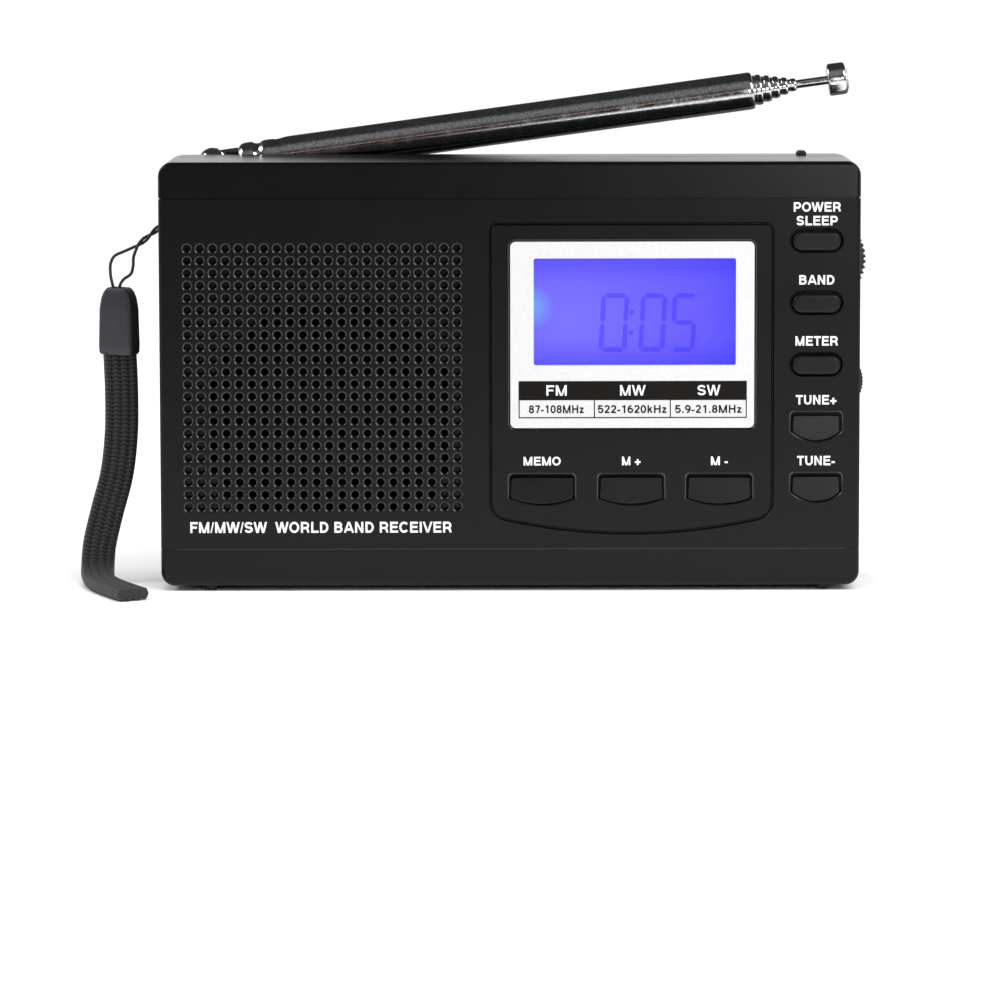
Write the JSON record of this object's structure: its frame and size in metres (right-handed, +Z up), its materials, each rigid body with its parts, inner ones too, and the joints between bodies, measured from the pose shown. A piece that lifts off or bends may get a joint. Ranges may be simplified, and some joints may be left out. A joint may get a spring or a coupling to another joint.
{
  "type": "shortwave receiver",
  "caption": "Pocket shortwave radio with a perforated loudspeaker grille, backlit display, press keys, side thumbwheel, telescopic antenna and wrist strap.",
  "frame": {"origin": "on the floor, below the middle of the case", "axes": "+X to the right seen from the front, the front faces -Y, +Z up"},
  "size_m": [0.1358, 0.0364, 0.0895],
  "materials": {
    "case": "fine satin texture",
    "key": "satin",
    "window": "clear plate printed white behind",
    "lcd": "backlit blue",
    "backlight": "milky light guide",
    "holder": "plain",
    "board": "solder mask",
    "steel": "zinc plated",
    "chip": "moulded",
    "cone": "coated paper",
    "magnet": "ferrite",
    "ferrite": "ferrite",
    "coil": "enamelled copper wire",
    "pot": "moulded",
    "jack": "moulded",
    "switch": "moulded",
    "cell": "plain printed sleeve",
    "chrome": "bright plated",
    "strap": "braided nylon",
    "slider": "satin"
  },
  "bodies": {
    "radio": {"front_shell": "case", "rear_shell": "case", "display_window": "window", "lcd_panel": "lcd", "lcd_backlight": "backlight", "lcd_holder": "holder", "main_board": "board", "tuner_shield": "steel", "control_chip": "chip", "speaker_frame": "steel", "speaker_cone": "cone", "speaker_magnet": "magnet", "ferrite_rod": "ferrite", "ferrite_coil": "coil", "volume_pot": "pot", "earphone_jack": "jack", "dc_jack": "jack", "memo_switch": "switch", "memory_up_switch": "switch", "memory_down_switch": "switch", "tune_up_switch": "switch", "tune_down_switch": "switch", "power_switch": "switch", "band_switch": "switch", "meter_switch": "switch", "battery_1": "cell", "battery_2": "cell", "contact_bridge": "steel", "contact_positive": "steel", "contact_negative": "steel", "case_screw_1": "steel", "case_screw_2": "steel", "case_screw_3": "steel", "case_screw_4": "steel", "strap_cord": "strap", "strap_slider": "slider", "strap_band": "strap"},
    "memo_key": {"memo_button": "key"},
    "memory_up_key": {"memory_up_button": "key"},
    "memory_down_key": {"memory_down_button": "key"},
    "tune_up_key": {"tune_up_button": "key"},
    "tune_down_key": {"tune_down_button": "key"},
    "power_key": {"power_button": "key"},
    "band_key": {"band_button": "key"},
    "meter_key": {"meter_button": "key"},
    "volume_control": {"volume_wheel": "key"},
    "lock_slide": {"lock_switch": "key"},
    "stand": {"kick_stand": "case"},
    "cell_cover": {"battery_cover": "case"},
    "antenna_base": {"antenna_swivel": "chrome", "antenna_pin": "steel"},
    "antenna_stage_1": {"antenna_tube": "chrome"},
    "antenna_stage_2": {"antenna_section_2": "chrome"},
    "antenna_stage_3": {"antenna_section_3": "chrome"},
    "antenna_stage_4": {"antenna_section_4": "chrome"},
    "antenna_stage_5": {"antenna_section_5": "chrome"},
    "antenna_stage_6": {"antenna_section_6": "chrome"},
    "antenna_stage_7": {"antenna_rod": "chrome", "antenna_tip": "chrome"}
  },
  "joints": [
    {"name": "memo_press", "type": "slide", "parent": "radio", "child": "memo_key", "axis": [0, 1, 0], "range_m": [0, 0.0005], "stiffness_N_per_m": 800, "springref_m": -0.0004},
    {"name": "memory_up_press", "type": "slide", "parent": "radio", "child": "memory_up_key", "axis": [0, 1, 0], "range_m": [0, 0.0005], "stiffness_N_per_m": 800, "springref_m": -0.0004},
    {"name": "memory_down_press", "type": "slide", "parent": "radio", "child": "memory_down_key", "axis": [0, 1, 0], "range_m": [0, 0.0005], "stiffness_N_per_m": 800, "springref_m": -0.0004},
    {"name": "tune_up_press", "type": "slide", "parent": "radio", "child": "tune_up_key", "axis": [0, 1, 0], "range_m": [0, 0.0005], "stiffness_N_per_m": 800, "springref_m": -0.0004},
    {"name": "tune_down_press", "type": "slide", "parent": "radio", "child": "tune_down_key", "axis": [0, 1, 0], "range_m": [0, 0.0005], "stiffness_N_per_m": 800, "springref_m": -0.0004},
    {"name": "power_press", "type": "slide", "parent": "radio", "child": "power_key", "axis": [0, 1, 0], "range_m": [0, 0.0005], "stiffness_N_per_m": 800, "springref_m": -0.0004},
    {"name": "band_press", "type": "slide", "parent": "radio", "child": "band_key", "axis": [0, 1, 0], "range_m": [0, 0.0005], "stiffness_N_per_m": 800, "springref_m": -0.0004},
    {"name": "meter_press", "type": "slide", "parent": "radio", "child": "meter_key", "axis": [0, 1, 0], "range_m": [0, 0.0005], "stiffness_N_per_m": 800, "springref_m": -0.0004},
    {"name": "volume_turn", "type": "hinge", "parent": "radio", "child": "volume_control", "pos_m": [0.0536, -0.001, 0.0562], "axis": [0, 1, 0], "range_deg": [-140, 140]},
    {"name": "lock_slide", "type": "slide", "parent": "radio", "child": "lock_slide", "axis": [0, 0, 1], "range_m": [0, 0.0024]},
    {"name": "stand_fold", "type": "hinge", "parent": "radio", "child": "stand", "pos_m": [-0.031, 0.0109, 0.0359], "axis": [1, 0, 0], "range_deg": [0, 60]},
    {"name": "cover_open", "type": "hinge", "parent": "radio", "child": "cell_cover", "pos_m": [0.0265, 0.01125, 0.0059], "axis": [-1, 0, 0], "range_deg": [0, 75]},
    {"name": "antenna_swivel_turn", "type": "hinge", "parent": "radio", "child": "antenna_base", "pos_m": [-0.0515, 0.0084, 0.0718], "axis": [0, 0, 1], "range_deg": [0, 180]},
    {"name": "antenna_tilt", "type": "hinge", "parent": "antenna_base", "child": "antenna_stage_1", "pos_m": [-0.0515, 0.0084, 0.0718], "axis": [0, -1, 0], "range_deg": [-7.77, 82.23]},
    {"name": "antenna_extend_1", "type": "slide", "parent": "antenna_stage_1", "child": "antenna_stage_2", "axis": [0.9908, 0, 0.1352], "range_m": [0, 0.066]},
    {"name": "antenna_extend_2", "type": "slide", "parent": "antenna_stage_2", "child": "antenna_stage_3", "axis": [0.9908, 0, 0.1352], "range_m": [0, 0.066]},
    {"name": "antenna_extend_3", "type": "slide", "parent": "antenna_stage_3", "child": "antenna_stage_4", "axis": [0.9908, 0, 0.1352], "range_m": [0, 0.066]},
    {"name": "antenna_extend_4", "type": "slide", "parent": "antenna_stage_4", "child": "antenna_stage_5", "axis": [0.9908, 0, 0.1352], "range_m": [0, 0.066]},
    {"name": "antenna_extend_5", "type": "slide", "parent": "antenna_stage_5", "child": "antenna_stage_6", "axis": [0.9908, 0, 0.1352], "range_m": [0, 0.066]},
    {"name": "antenna_extend_6", "type": "slide", "parent": "antenna_stage_6", "child": "antenna_stage_7", "axis": [0.9908, 0, 0.1352], "range_m": [0, 0.066]}
  ]
}
